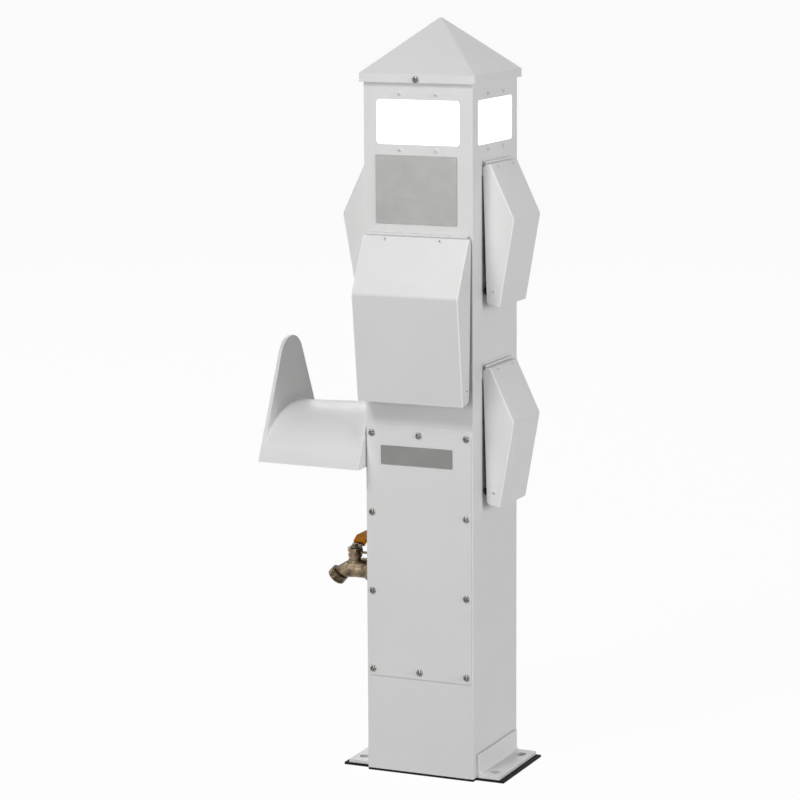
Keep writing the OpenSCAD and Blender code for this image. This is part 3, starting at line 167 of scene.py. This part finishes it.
def add_floor():
    """A white floor that keeps a faint shadow of the object."""
    material = bpy.data.materials.new("floor")
    material.use_nodes = True
    nodes = material.node_tree.nodes
    links = material.node_tree.links
    nodes.clear()
    # Seen directly it is white, and as a source of light a quiet grey
    seen = seen_directly(nodes)
    matt = nodes.new("ShaderNodeBsdfDiffuse")
    links.new(mixed_color(nodes, seen, FLOOR_BOUNCE, FLOOR_SEEN), matt.inputs["Color"])
    glow = nodes.new("ShaderNodeEmission")
    share = nodes.new("ShaderNodeMath")
    share.operation = "MULTIPLY"
    share.inputs[1].default_value = FLOOR_GLOW
    mix = nodes.new("ShaderNodeMixShader")
    out = nodes.new("ShaderNodeOutputMaterial")
    links.new(seen, share.inputs[0])
    links.new(share.outputs[0], mix.inputs["Fac"])
    links.new(matt.outputs[0], mix.inputs[1])
    links.new(glow.outputs[0], mix.inputs[2])
    links.new(mix.outputs[0], out.inputs["Surface"])
    mesh = bpy.data.meshes.new("floor")
    half = FLOOR_SIZE / 2
    mesh.from_pydata([(-half, -half, 0), (half, -half, 0), (half, half, 0), (-half, half, 0)],
                     [], [(0, 1, 2, 3)])
    floor = bpy.data.objects.new("floor", mesh)
    mesh.materials.append(material)
    bpy.context.scene.collection.objects.link(floor)


# Materials: each is a Principled shader with its own noise, bump and wear, and painted shade
# and highlights where the mesh is marked

# Most of a noise lies between these values
NOISE_LOW = 0.3
NOISE_HIGH = 0.7
# Colour of painted shade in deep recesses, which also darkens the panel plate evenly as
# tarnish, and painted highlight on the coat's sharp bends
PAINTED_SHADE_AND_TARNISH = (0.02, 0.018, 0.016)
# Painted highlight on the crests of rounded edges
PAINTED_HIGHLIGHT = (0.93, 0.93, 0.925)
# Depth of the finest bump
FINE_BUMP = 0.05 * MM


class Look:
    """A small builder around one material's node tree."""

    def __init__(self, name, color, roughness, metallic=0.0):
        self.material = bpy.data.materials.new(name)
        self.material.use_nodes = True
        self.nodes = self.material.node_tree.nodes
        self.links = self.material.node_tree.links
        self.shader = self.nodes["Principled BSDF"]
        self.shader.inputs["Base Color"].default_value = (*color, 1.0)
        self.shader.inputs["Roughness"].default_value = roughness
        self.shader.inputs["Metallic"].default_value = metallic
        self.place = self.nodes.new("ShaderNodeTexCoord").outputs["Object"]
        self.normal = None

    def stretched(self, scale):
        """Object coordinates scaled along each axis, for grain with a direction."""
        mapping = self.nodes.new("ShaderNodeMapping")
        mapping.inputs["Scale"].default_value = scale
        self.links.new(self.place, mapping.inputs["Vector"])
        return mapping.outputs["Vector"]

    def noise(self, scale, detail=3.0, vector=None):
        texture = self.nodes.new("ShaderNodeTexNoise")
        texture.inputs["Scale"].default_value = scale
        texture.inputs["Detail"].default_value = detail
        self.links.new(vector or self.place, texture.inputs["Vector"])
        return texture.outputs["Fac"]

    def ranged(self, value, low, high):
        """A noise value mapped to a low to high one."""
        node = self.nodes.new("ShaderNodeMapRange")
        node.inputs["From Min"].default_value = NOISE_LOW
        node.inputs["From Max"].default_value = NOISE_HIGH
        node.inputs["To Min"].default_value = low
        node.inputs["To Max"].default_value = high
        self.links.new(value, node.inputs["Value"])
        return node.outputs["Result"]

    def two_tone(self, value, first, second):
        """Colour between two tones by a noise value."""
        color = mixed_color(self.nodes, self.ranged(value, 0.0, 1.0), first, second)
        self.links.new(color, self.shader.inputs["Base Color"])

    def marked(self, name, color):
        """Takes this colour where the mesh carries the point attribute of that name."""
        socket = self.shader.inputs["Base Color"]
        mark = self.nodes.new("ShaderNodeAttribute")
        mark.attribute_name = name
        plain = socket.links[0].from_socket
        self.links.new(mixed_color(self.nodes, mark.outputs["Fac"], plain, color), socket)

    def rough(self, value, low, high):
        self.links.new(self.ranged(value, low, high), self.shader.inputs["Roughness"])

    def bump(self, value, strength, depth):
        """Adds a bump on top of those before it."""
        node = self.nodes.new("ShaderNodeBump")
        node.inputs["Strength"].default_value = strength
        node.inputs["Distance"].default_value = depth
        self.links.new(value, node.inputs["Height"])
        if self.normal is not None:
            self.links.new(self.normal, node.inputs["Normal"])
        self.normal = node.outputs["Normal"]
        self.links.new(self.normal, self.shader.inputs["Normal"])


def coat_look(name, first, second):
    """Powder coat: an even white with a fine orange peel, a painted highlight on the crests
    of rounded edges and painted shade in recesses.
    """
    look = Look(name, first, 0.42)
    look.two_tone(look.noise(9.0, 4.0), first, second)
    look.rough(look.noise(60.0), 0.36, 0.46)
    look.bump(look.noise(700.0, 2.0), 0.18, 0.06 * MM)
    look.bump(look.noise(90.0, 1.0), 0.1, 0.1 * MM)
    # Painted highlight on the crests of rounded edges
    look.marked("crest", PAINTED_HIGHLIGHT)
    # Painted shade where the mesh marks a recess, such as rivet bores
    look.marked("recess", PAINTED_SHADE_AND_TARNISH)
    return look.material


def rubber_look(name, first, second):
    look = Look(name, first, 0.7)
    look.shader.inputs["Specular IOR Level"].default_value = 0.12
    look.two_tone(look.noise(220.0, 5.0), first, second)
    look.rough(look.noise(400.0), 0.6, 0.82)
    look.bump(look.noise(1500.0, 2.0), 0.4, 0.08 * MM)
    return look.material


def metal_look(name, first, second, low, high, grain=(1.0, 1.0, 1.0), grain_scale=300.0,
               patches=45.0):
    """Metal with grain along one direction, a little tarnish, and painted shade in its marked
    recesses.
    """
    look = Look(name, first, low, 1.0)
    look.two_tone(look.noise(patches, 5.0), first, second)
    # Painted shade in marked recesses; on the panel plate the same mark is an even tarnish
    look.marked("recess", PAINTED_SHADE_AND_TARNISH)
    fine = look.noise(grain_scale, 4.0, look.stretched(grain))
    look.rough(fine, low, high)
    look.bump(fine, 0.25, FINE_BUMP)
    return look.material


def plastic_look(name, first, second, low, high, shine=0.5):
    look = Look(name, first, low)
    look.shader.inputs["Specular IOR Level"].default_value = shine
    look.two_tone(look.noise(70.0, 4.0), first, second)
    look.rough(look.noise(150.0), low, high)
    look.bump(look.noise(900.0, 2.0), 0.2, FINE_BUMP)
    return look.material


def glow_look(name, strength):
    """A lit diffusing panel, hardly brighter than paper."""
    look = Look(name, (0.95, 0.95, 0.93), 0.35)
    look.rough(look.noise(120.0), 0.3, 0.42)
    look.bump(look.noise(500.0, 2.0), 0.15, FINE_BUMP)
    look.shader.inputs["Emission Color"].default_value = (1.0, 1.0, 0.985, 1.0)
    look.shader.inputs["Emission Strength"].default_value = strength
    return look.material


def make_looks():
    """The material of every slot."""
    return {
        "white_coat": coat_look("white_coat", (0.79, 0.79, 0.785), (0.76, 0.76, 0.755)),
        "gasket_rubber": rubber_look("gasket_rubber", (0.006, 0.006, 0.007),
                                     (0.014, 0.014, 0.014)),
        "bumper_rubber": rubber_look("bumper_rubber", (0.006, 0.006, 0.007),
                                     (0.012, 0.012, 0.013)),
        "stainless": metal_look("stainless", (0.3, 0.29, 0.28), (0.19, 0.185, 0.18),
                                0.2, 0.36),
        "lens_plastic": glow_look("lens_plastic", 0.9),
        "sheet_metal": metal_look("sheet_metal", (0.62, 0.63, 0.64), (0.55, 0.56, 0.57),
                                  0.32, 0.5, (0.05, 1.0, 1.0), 900.0),
        "pale_plastic": plastic_look("pale_plastic", (0.75, 0.73, 0.68), (0.7, 0.68, 0.62),
                                     0.18, 0.3),
        "lamp_glass": glow_look("lamp_glass", 0.8),
        "plate_metal": metal_look("plate_metal", (0.235, 0.235, 0.23), (0.215, 0.215, 0.21),
                                  0.4, 0.46, (0.03, 1.0, 1.0), 1200.0),
        "dark_plastic": plastic_look("dark_plastic", (0.018, 0.018, 0.02),
                                     (0.03, 0.03, 0.032), 0.4, 0.55),
        "toggle_plastic": plastic_look("toggle_plastic", (0.04, 0.04, 0.042),
                                       (0.055, 0.055, 0.056), 0.3, 0.42),
        "bar_brass": metal_look("bar_brass", (0.66, 0.47, 0.2), (0.5, 0.34, 0.14),
                                0.25, 0.45),
        "wire_jacket": plastic_look("wire_jacket", (0.42, 0.03, 0.02), (0.34, 0.025, 0.018),
                                    0.35, 0.5),
        "pipe_metal": metal_look("pipe_metal", (0.6, 0.3, 0.17), (0.36, 0.19, 0.12),
                                 0.3, 0.5),
        "tap_bronze": metal_look("tap_bronze", (0.31, 0.24, 0.16), (0.06, 0.043, 0.027),
                                 0.26, 0.46, patches=95.0),
        "lever_metal": metal_look("lever_metal", (0.2, 0.165, 0.115), (0.06, 0.05, 0.035),
                                  0.35, 0.5),
        "grip_plastic": plastic_look("grip_plastic", (0.66, 0.235, 0.012), (0.5, 0.17, 0.01),
                                     0.6, 0.75, shine=0.06),
    }


# Meshes

# Points nearer than this are one point, and faces that turn by less than this one face
DOUBLED = 0.001 * MM
FLAT_TURN = math.radians(0.5)
# Edges that turn by more than this are shaded as sharp
SHADED_TURN = math.radians(32.0)
# Edges that turn by more than this are rounded, on most pieces and on the hoods
SOFT_TURN = math.radians(34.0)
HOOD_TURN = math.radians(50.0)
# Points this near to a surface lie on it
SLACK = 0.1 * MM


def bounds_of(points):
    low = Vector(map(min, zip(*points)))
    high = Vector(map(max, zip(*points)))
    return low, high


def outward_of(low, high):
    """Unit direction out of the column face that a piece sits on."""
    middle = (low + high) / 2
    if abs(middle.x) > abs(middle.y):
        return Vector((math.copysign(1.0, middle.x), 0.0, 0.0))
    return Vector((0.0, math.copysign(1.0, middle.y), 0.0))


def clean_copy(mesh):
    """A bmesh of a CAD mesh with its doubled points joined, ready to be marked."""
    work = bmesh.new()
    work.from_mesh(mesh)
    bmesh.ops.remove_doubles(work, verts=work.verts, dist=DOUBLED)
    work.verts.layers.float.new("recess")
    work.verts.layers.float.new("crest")
    return work


def loose_groups(work):
    """The points of each loose piece of a bmesh."""
    seen = set()
    groups = []
    for start in work.verts:
        if start in seen:
            continue
        seen.add(start)
        group = [start]
        for vert in group:
            for edge in vert.link_edges:
                other = edge.other_vert(vert)
                if other not in seen:
                    seen.add(other)
                    group.append(other)
        groups.append(group)
    return groups


def islands(mesh):
    """Corner boxes of a mesh's loose pieces, as (low, high), sorted by place."""
    work = clean_copy(mesh)
    boxes = [bounds_of([vert.co.copy() for vert in group]) for group in loose_groups(work)]
    work.free()
    return sorted(boxes, key=lambda box: tuple(box[0]))


def make_piece(name, work, node):
    """Turns a bmesh into an object with a CAD node's body and material."""
    mesh = bpy.data.meshes.new(name)
    work.normal_update()
    work.to_mesh(mesh)
    work.free()
    mesh.shade_smooth()
    mesh.set_sharp_from_angle(angle=SHADED_TURN)
    mesh.materials.append(LOOKS[SLOT_OF[node]])
    piece = bpy.data.objects.new(name, mesh)
    bpy.context.scene.collection.objects.link(piece)
    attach(piece, BODY_OF[node])
    return piece


def even_faces(piece):
    """Keeps flat faces evenly shaded next to small rounds."""
    tidy = piece.modifiers.new("even_faces", "WEIGHTED_NORMAL")
    tidy.keep_sharp = True


def flat_faces(work):
    """Joins the triangles of flat faces."""
    bmesh.ops.dissolve_limit(work, angle_limit=FLAT_TURN, verts=work.verts, edges=work.edges)


def rounded_edges(work, width, segments, wanted):
    """Rounds the wanted edges and marks the crests of the rounds, which take a painted
    highlight on the coat.
    """
    edges = [edge for edge in work.edges if len(edge.link_faces) == 2 and wanted(edge)]
    made = bmesh.ops.bevel(work, geom=edges, offset=width, segments=segments, profile=0.5,
                           affect="EDGES", clamp_overlap=True)
    rounds = set(made["faces"])
    crest = work.verts.layers.float["crest"]
    for vert in made["verts"]:
        if all(face in rounds for face in vert.link_faces):
            # Crest points carry the painted highlight
            vert[crest] = 1.0


def tarnish(share):
    """Marks a whole mesh as dirtied by a share."""
    def mark(work):
        recess = work.verts.layers.float["recess"]
        for vert in work.verts:
            vert[recess] = share
    return mark


def softened(node, width, prepare=None):
    """Replaces a CAD node by a copy with its sharp edges rounded off and their crests marked
    for a painted highlight.
    """
    work = clean_copy(NODES[node].data)
    if prepare:
        prepare(work)
    flat_faces(work)
    rounded_edges(work, width, 2, lambda edge: edge.calc_face_angle(0.0) > SOFT_TURN)
    piece = make_piece(node + "_soft", work, node)
    even_faces(piece)
    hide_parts(node)


# Hoods

# Radius of the bends to the side walls, and of the hoods' other edges
HOOD_BEND = 1.6 * MM
HOOD_EDGE = 0.3 * MM
# Edges longer than this that face the column stay sharp
HOOD_BACK = 3.0 * MM
# Points of a hood nearer than this are joined
HOOD_STEP = 0.08 * MM
# Parts of a normal along a direction: along it, across it, and turned back to the column
ALONG = 0.99
ACROSS = 0.1
TURNED_BACK = -0.3
# Hinge rivets lie within this distance of their hood's top
RIVET_ROW = 15.0 * MM
# Points nearer than this to a rivet's axis lie in its bore, which takes painted shade
RIVET_BORE_R = 0.85 * MM
# Upward part of the normal on a hood's slope, from and to
SLOPE_RISE = (0.2, 0.8)


def bent_hood(node):
    """Replaces a hood by a copy whose bends to the side walls are rounder than the rest,
    their crests marked for a painted highlight.
    """
    work = clean_copy(NODES[node].data)
    # The smallest steps would hold the wide bends back
    bmesh.ops.remove_doubles(work, verts=work.verts, dist=HOOD_STEP)
    flat_faces(work)
    low, high = bounds_of([vert.co for vert in work.verts])
    middle = (low + high) / 2
    rivets = [((box_low + box_high) / 2, (box_high - box_low).length / 2)
              for box_low, box_high in islands(NODES[node + "_rivets"].data)]
    side = Vector((0, 1, 0)) if abs(middle.x) > abs(middle.y) else Vector((1, 0, 0))
    half_width = (high - low).dot(side) / 2
    out = outward_of(low, high)

    def outer_bend(edge):
        place = (edge.verts[0].co + edge.verts[1].co) / 2
        if any((place - spot).length < reach for spot, reach in rivets):
            return False
        if abs((place - middle).dot(side)) < half_width - SLACK:
            return False
        normals = [face.normal for face in edge.link_faces]
        flank = [normal for normal in normals if abs(normal.dot(side)) > ALONG
                 and normal.dot(place - middle) > 0]
        shell = [normal for normal in normals if abs(normal.dot(side)) < ACROSS
                 and (normal.dot(out) > TURNED_BACK or edge.calc_length() < HOOD_BACK)]
        return len(flank) == 1 and len(shell) == 1

    bends = {edge for edge in work.edges if len(edge.link_faces) == 2 and outer_bend(edge)}
    rounded_edges(work, HOOD_BEND, 4, lambda edge: edge in bends)
    rounded_edges(work, HOOD_EDGE, 2, lambda edge: edge.calc_face_angle(0.0) > HOOD_TURN)
    piece = make_piece(node + "_bent", work, node)
    even_faces(piece)
    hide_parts(node)


def bored_rivets(node):
    """Replaces a hood's rivets by a copy with painted shade in their bores."""
    hood = NODES[node.replace("_rivets", "")].data
    slope = max((face for face in hood.polygons
                 if SLOPE_RISE[0] < face.normal.z < SLOPE_RISE[1]),
                key=lambda face: face.area).normal
    top = max(vert.co.z for vert in hood.vertices)
    work = clean_copy(NODES[node].data)
    recess = work.verts.layers.float["recess"]
    for group in loose_groups(work):
        centre = sum((vert.co for vert in group), Vector()) / len(group)
        low, high = bounds_of([vert.co for vert in group])
        size = high - low
        level = Vector((1, 0, 0)) if size.x > size.y else Vector((0, 1, 0))
        axis = slope if top - centre.z < RIVET_ROW else level
        for vert in group:
            arm = vert.co - centre
            if (arm - axis * arm.dot(axis)).length < RIVET_BORE_R:
                # Painted shade in the bore
                vert[recess] = 1.0
    piece = make_piece(node + "_bored", work, node)
    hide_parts(node)


# Turned shapes

def ring_of(work, place, steps, radius, height_at):
    """A ring of points around the Z axis of a place, with a height for each angle."""
    ring = []
    for k in range(steps):
        angle = 2 * math.pi * k / steps
        ring.append(work.verts.new(place @ Vector((
            radius * math.cos(angle), radius * math.sin(angle), height_at(angle)))))
    return ring


def join_rings(work, before, ring):
    """Faces between two rings of as many points."""
    for k in range(len(ring)):
        after = (k + 1) % len(ring)
        work.faces.new((before[k], ring[k], ring[after], before[after]))


# Screws

SCREW_STEPS = 32
# Rings of points over a screw's head, as shares of its radius
HEAD_RINGS = [0.08, 0.16, 0.24, 0.34, 0.44, 0.52, 0.54, 0.7, 0.85, 0.95, 1.0]
# Height of the head's rim and depth of the cross, as shares of the head's height
RIM_HEIGHT = 0.32
CROSS_DEPTH = 0.7
# Half width of the cross's slots, as a share of the head's radius
SLOT_HALF = 0.17
# Share of its depth that the cross loses over one head radius
CROSS_RISE = 0.55
SHANK_BEVEL = 0.3 * MM
# Each screw stands turned from the one before it by this angle, in radians
SCREW_SPIN = 2.399


def cross_head(work, recess, head_r, head_h, shank_r, length, recess_share, place):
    """A domed screw with a cross recess, its seat at height 0 and its shank below."""
    recess_r = head_r * recess_share

    def height(radius, angle):
        dome = head_h * (RIM_HEIGHT + (1 - RIM_HEIGHT)
                         * math.sqrt(max(0.0, 1 - (radius / head_r) ** 2)))
        across = min(abs(math.sin(angle)), abs(math.cos(angle))) * radius
        if radius <= recess_r and across <= head_r * SLOT_HALF:
            return dome - head_h * CROSS_DEPTH * (1.0 - CROSS_RISE * radius / recess_r)
        return dome

    centre = work.verts.new(place @ Vector((0.0, 0.0, height(0.0, 0.0))))
    # The centre and the cross's slots take painted shade
    centre[recess] = 1.0
    before = None
    for share in HEAD_RINGS:
        radius = head_r * share
        ring = ring_of(work, place, SCREW_STEPS, radius,
                       lambda angle, radius=radius: height(radius, angle))
        for k, vert in enumerate(ring):
            angle = 2 * math.pi * k / SCREW_STEPS
            if height(radius, angle) < height(radius, math.pi / 4):
                vert[recess] = 1.0
        if before is None:
            for k in range(SCREW_STEPS):
                work.faces.new((centre, ring[k], ring[(k + 1) % SCREW_STEPS]))
        else:
            join_rings(work, before, ring)
        before = ring
    for radius, level in ((head_r, 0.0), (shank_r, 0.0), (shank_r, -length + SHANK_BEVEL),
                          (shank_r - SHANK_BEVEL, -length)):
        ring = ring_of(work, place, SCREW_STEPS, radius, lambda angle, level=level: level)
        join_rings(work, before, ring)
        before = ring
    tip = work.verts.new(place @ Vector((0.0, 0.0, -length)))
    for k in range(SCREW_STEPS):
        work.faces.new((before[k], tip, before[(k + 1) % SCREW_STEPS]))


def crossed_screws(node, head_h, shank_r, recess_share):
    """Replaces a node of plain domed screws by ones with cross recesses, which take painted
    shade.
    """
    work = bmesh.new()
    recess = work.verts.layers.float.new("recess")
    for order, (low, high) in enumerate(islands(NODES[node].data)):
        out = outward_of(low, high)
        size = high - low
        length = abs(size.dot(out))
        head_r = size.z / 2
        seat = (low + high) / 2 + out * (length / 2 - head_h)
        turn = out.to_track_quat("Z", "Y").to_matrix().to_4x4()
        spin = Matrix.Rotation(order * SCREW_SPIN, 4, "Z")
        cross_head(work, recess, head_r, head_h, shank_r, length - head_h, recess_share,
                   Matrix.Translation(seat) @ turn @ spin)
    piece = make_piece(node + "_crossed", work, node)
    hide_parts(node)


# Hose thread

THREAD_DEPTH = 1.1 * MM
THREAD_PITCH = 2.21 * MM
THREAD_STEPS = 64
# Rows of points along one pitch
THREAD_ROWS = 8
# Steepness of the ridge's flanks, where 1 is a plain zigzag
THREAD_FLANK = 2.2
# The ridge fades out over this length at both ends
THREAD_FADE = 0.8 * MM
# Share of painted shade at the thread's root
THREAD_ROOT_SHADE = 0.3
SPOUT_EDGE = 0.35 * MM


def threaded_spout():
    """Cuts the spout's plain ring back to its root and winds a thread around it, with painted
    shade at the root.
    """
    mount = next(m for m in frame["record"]["mounts"] if m["name"] == "hose_thread")
    end = Vector(mount["pos_m"])
    axis = Vector(mount["axis"]).normalized()
    crest = mount["dims"]["r_mm"] * MM
    length = mount["dims"]["length_mm"] * MM
    root = crest - THREAD_DEPTH

    def cut_back(work):
        for vert in work.verts:
            arm = vert.co - end
            along = arm.dot(axis)
            radial = arm - axis * along
            if -length - SLACK < along < SLACK and radial.length > crest - SLACK:
                vert.co -= radial.normalized() * THREAD_DEPTH

    softened("tap_body", SPOUT_EDGE, prepare=cut_back)
    turn = Matrix.Translation(end) @ axis.to_track_quat("Z", "Y").to_matrix().to_4x4()
    work = bmesh.new()
    recess = work.verts.layers.float.new("recess")
    count = int(length / THREAD_PITCH * THREAD_ROWS)
    rings = []
    for row in range(count + 1):
        height = -length + length * row / count
        ring = []
        for k in range(THREAD_STEPS):
            angle = 2 * math.pi * k / THREAD_STEPS
            phase = (height / THREAD_PITCH - k / THREAD_STEPS) % 1.0
            ridge = min(1.0, THREAD_FLANK * (1.0 - abs(2.0 * phase - 1.0)))
            fade = min(1.0, -height / THREAD_FADE, (height + length) / THREAD_FADE)
            lift = ridge * fade
            radius = root + THREAD_DEPTH * lift
            vert = work.verts.new(turn @ Vector((
                radius * math.cos(angle), radius * math.sin(angle), height)))
            # Painted shade towards the thread's root
            vert[recess] = THREAD_ROOT_SHADE * (1.0 - lift)
            ring.append(vert)
        rings.append(ring)
    # The sleeve closes inside the spout's wall
    rings += [ring_of(work, turn, THREAD_STEPS, root - THREAD_DEPTH,
                      lambda angle, level=level: level) for level in (0.0, -length)]
    rings.append(rings[0])
    for lower, upper in zip(rings, rings[1:]):
        for k in range(THREAD_STEPS):
            after = (k + 1) % THREAD_STEPS
            work.faces.new((lower[k], lower[after], upper[after], upper[k]))
    make_piece("hose_thread_ridges", work, "tap_body")


# Dressing

# Radius of each piece's softened edges, in millimetres
SOFT_EDGES = {
    "base_angle_left": 0.5, "base_angle_right": 0.5, "access_panel": 0.35, "cap": 1.3,
    "hose_hanger": 0.9, "breaker_plate": 0.25, "data_plate": 0.2, "panel_plate": 0.2,
    "outlet_right_upper": 0.5, "outlet_right_lower": 0.5, "outlet_left_upper": 0.5,
    "breakers": 0.5, "toggle_left": 0.5, "toggle_middle": 0.5, "toggle_right": 0.5,
    "tap_bonnet": 0.4, "tap_lever": 0.35, "tap_grip": 0.9, "tap_nut": 0.25,
    "base_gasket": 0.4, "terminal_block": 0.5, "hanger_bolts": 0.3,
}
# Share of dirt over a whole piece
TARNISHED = {"panel_plate": tarnish(0.28)}
HOODS = ["front_hood", "right_upper_hood", "right_lower_hood", "left_upper_hood"]
# Screw nodes: head height and shank radius in millimetres, and the cross's share of the head
CROSSED = {
    "panel_screws": (2.6, 2.4, 0.58), "cap_screws": (2.6, 2.4, 0.62),
    "fixing_screws": (2.6, 2.4, 0.56), "lens_screws": (2.0, 1.45, 0.5),
}


def dress_nodes():
    """Every CAD node takes its slot's material."""
    for node, thing in NODES.items():
        look = LOOKS[SLOT_OF[node]]
        if not thing.material_slots:
            thing.data.materials.append(look)
        for place in thing.material_slots:
            place.material = look


add_camera()
add_world()
add_floor()
add_lamps()
LOOKS = make_looks()
dress_nodes()
for soft_node, soft_width in SOFT_EDGES.items():
    softened(soft_node, soft_width * MM, prepare=TARNISHED.get(soft_node))
for hood_node in HOODS:
    bent_hood(hood_node)
    bored_rivets(hood_node + "_rivets")
threaded_spout()
for screw_node, (screw_head, screw_shank, screw_cross) in CROSSED.items():
    crossed_screws(screw_node, screw_head * MM, screw_shank * MM, screw_cross)

bpy.context.scene.view_settings.view_transform = "Standard"
